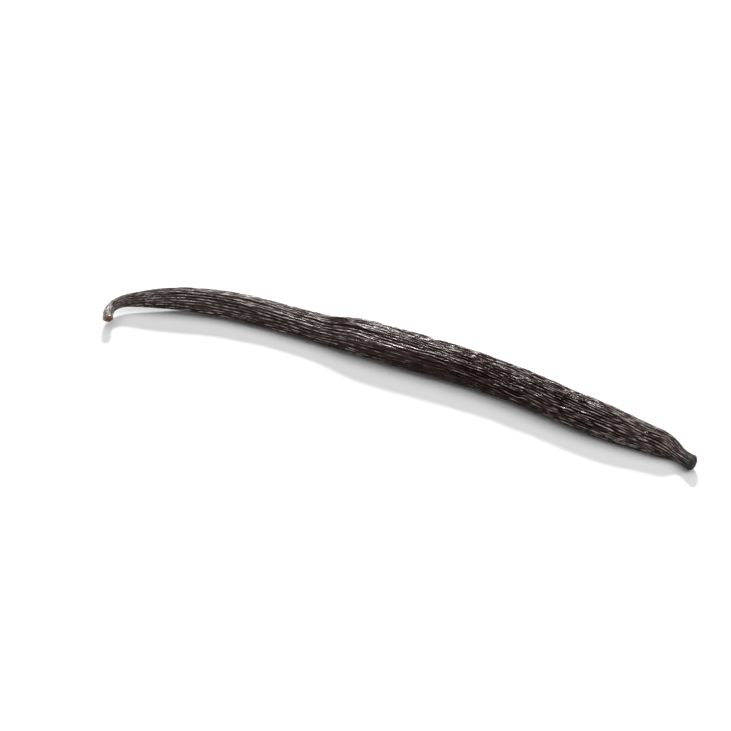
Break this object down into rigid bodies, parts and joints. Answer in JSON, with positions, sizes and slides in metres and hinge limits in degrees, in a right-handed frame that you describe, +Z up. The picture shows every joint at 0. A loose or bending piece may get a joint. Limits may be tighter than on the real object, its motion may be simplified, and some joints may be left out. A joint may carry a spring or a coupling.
{
  "type": "vanilla pod",
  "caption": "Cured vanilla pod lying on its side: thin hooked stem with a cut face, plump folded body, tapered tip ending in a round scar.",
  "frame": {"origin": "on the surface that the pod lies on, below the middle of its bounding box", "axes": "+X along the pod, from the hooked stem towards the scar at the tip; +Z up, away from the surface; the stem hooks towards -Y"},
  "size_m": [0.1474, 0.0236, 0.0077],
  "materials": {
    "pod_skin": "satin, wrinkled lengthwise"
  },
  "bodies": {
    "root": {"pod": "pod_skin"}
  },
  "joints": []
}
